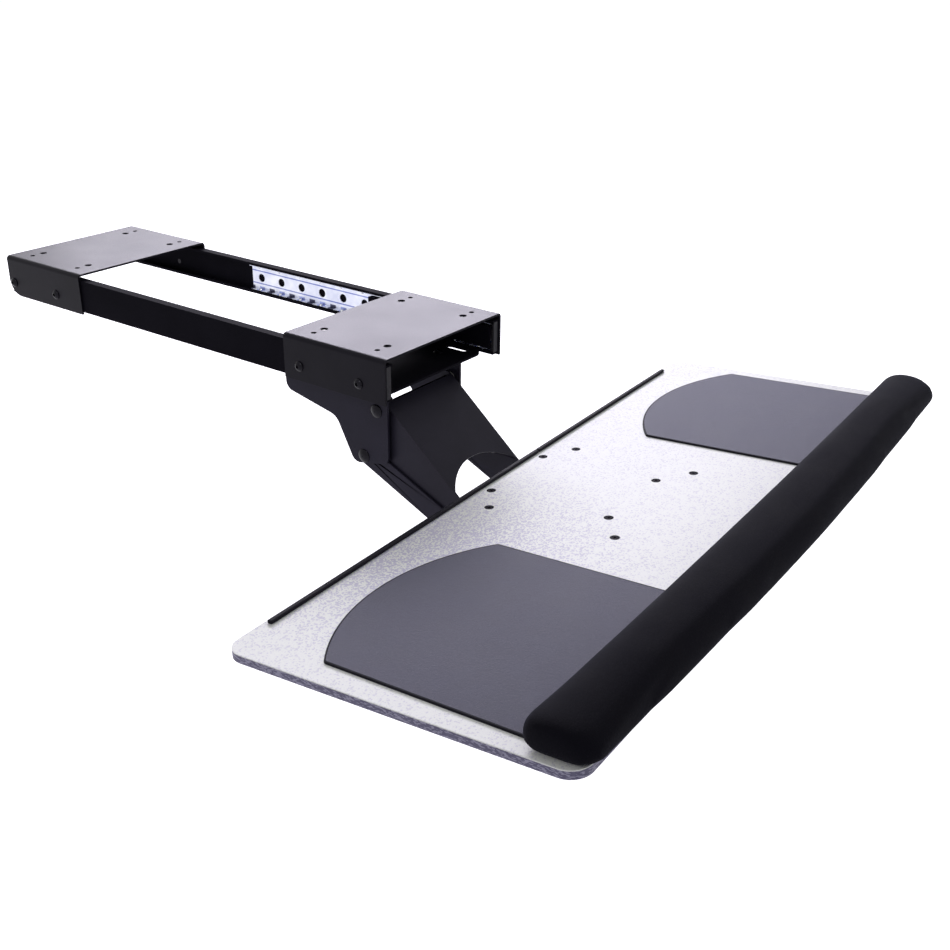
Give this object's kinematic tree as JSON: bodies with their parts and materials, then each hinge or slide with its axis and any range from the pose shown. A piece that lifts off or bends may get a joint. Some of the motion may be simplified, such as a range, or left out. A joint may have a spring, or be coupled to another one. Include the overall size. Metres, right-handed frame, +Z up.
{
  "type": "under-desk keyboard tray",
  "caption": "Keyboard tray with mouse pads and a padded palm rest, on a height, tilt and swivel arm that slides on a track under a desk.",
  "frame": {"origin": "middle of the front bracket's front edge, on the face that meets the underside of the desk", "axes": "+Z up out of the desk face, +Y back under the desk along the track, +X to the right of the person at the tray"},
  "size_m": [0.6969, 0.8609, 0.1853],
  "materials": {
    "black_steel": "satin black powder coat",
    "bracket_steel": "satin dark grey paint",
    "black_screws": "black oxide",
    "zinc_steel": "bright zinc plating",
    "ball_steel": "polished",
    "pin_steel": "plain steel",
    "pale_nylon": "natural nylon",
    "knob_plastic": "moulded black",
    "insert_brass": "turned",
    "board_core": "dark compact board",
    "board_top": "pale speckled laminate",
    "strip_rubber": "smooth black",
    "pad_surface": "fine-grained slate grey",
    "base_plastic": "moulded black",
    "palm_fabric": "black stretch cloth"
  },
  "bodies": {
    "track": {"front_bracket": "bracket_steel", "rear_bracket": "bracket_steel", "outer_rail_left": "black_steel", "outer_rail_right": "black_steel", "rail_screws": "black_screws", "rail_end_stops": "black_steel"},
    "retainers": {"ball_retainer_left": "zinc_steel", "ball_retainer_right": "zinc_steel", "bearing_balls_left": "ball_steel", "bearing_balls_right": "ball_steel"},
    "carriage": {"inner_rail_left": "black_steel", "inner_rail_right": "black_steel", "carriage_plate": "black_steel", "carriage_screws": "black_screws", "cheek_left": "black_steel", "cheek_right": "black_steel", "cheek_bolts": "black_screws", "cheek_nuts": "zinc_steel", "rear_pivot_shaft": "pin_steel", "rear_link_pins": "pin_steel"},
    "arm": {"upper_arm": "black_steel", "pivot_bushes": "pale_nylon"},
    "links": {"lower_link_left": "black_steel", "lower_link_right": "black_steel", "link_spacer": "black_steel", "link_washers": "pale_nylon"},
    "head": {"head_bracket": "black_steel", "front_pivot_shaft": "pin_steel", "front_link_shaft": "pin_steel", "tilt_bolt": "pin_steel", "clamp_bolt": "zinc_steel", "clamp_washers": "zinc_steel"},
    "tilt": {"tilt_plate": "black_steel", "swivel_glide": "pale_nylon"},
    "knob": {"clamp_knob": "knob_plastic", "knob_insert": "insert_brass"},
    "tray": {"swivel_plate": "black_steel", "swivel_post": "zinc_steel", "swivel_washer": "zinc_steel", "swivel_nut": "zinc_steel", "tray_core": "board_core", "tray_laminate": "board_top", "tray_screws": "black_screws", "stop_strip_left": "strip_rubber", "stop_strip_right": "strip_rubber", "mouse_pad_left": "pad_surface", "mouse_pad_right": "pad_surface", "palm_rest_base": "base_plastic", "palm_rest": "palm_fabric"}
  },
  "joints": [
    {"name": "track_slide", "type": "slide", "parent": "track", "child": "carriage", "axis": [0, 1, 0], "range_m": [0, 0.34]},
    {"name": "retainer_slide", "type": "slide", "parent": "track", "child": "retainers", "axis": [0, 1, 0], "range_m": [0, 0.17]},
    {"name": "arm_lift", "type": "hinge", "parent": "carriage", "child": "arm", "pos_m": [0, 0.0355, -0.0624], "axis": [-1, 0, 0], "range_deg": [-24, 6]},
    {"name": "link_lift", "type": "hinge", "parent": "carriage", "child": "links", "pos_m": [0, 0.0513, -0.109], "axis": [-1, 0, 0], "range_deg": [-24, 6]},
    {"name": "head_level", "type": "hinge", "parent": "arm", "child": "head", "pos_m": [0, -0.07051, -0.12864], "axis": [-1, 0, 0], "range_deg": [-6, 24]},
    {"name": "tray_tilt", "type": "hinge", "parent": "head", "child": "tilt", "pos_m": [0, -0.10001, -0.12804], "axis": [-1, 0, 0], "range_deg": [-13.5, 2.5]},
    {"name": "tray_swivel", "type": "hinge", "parent": "tilt", "child": "tray", "pos_m": [0, -0.1404, -0.1029], "axis": [0, 0.061, 0.9981], "range_deg": [-11, 6]},
    {"name": "knob_turn", "type": "hinge", "parent": "head", "child": "knob", "pos_m": [0.065, -0.10001, -0.15404], "axis": [1, 0, 0], "range_deg": [0, 270]}
  ],
  "couplings": [
    {"joint": "retainer_slide", "follows": "track_slide", "ratio": 0.5},
    {"joint": "link_lift", "follows": "arm_lift", "ratio": 1},
    {"joint": "head_level", "follows": "arm_lift", "ratio": -1}
  ]
}
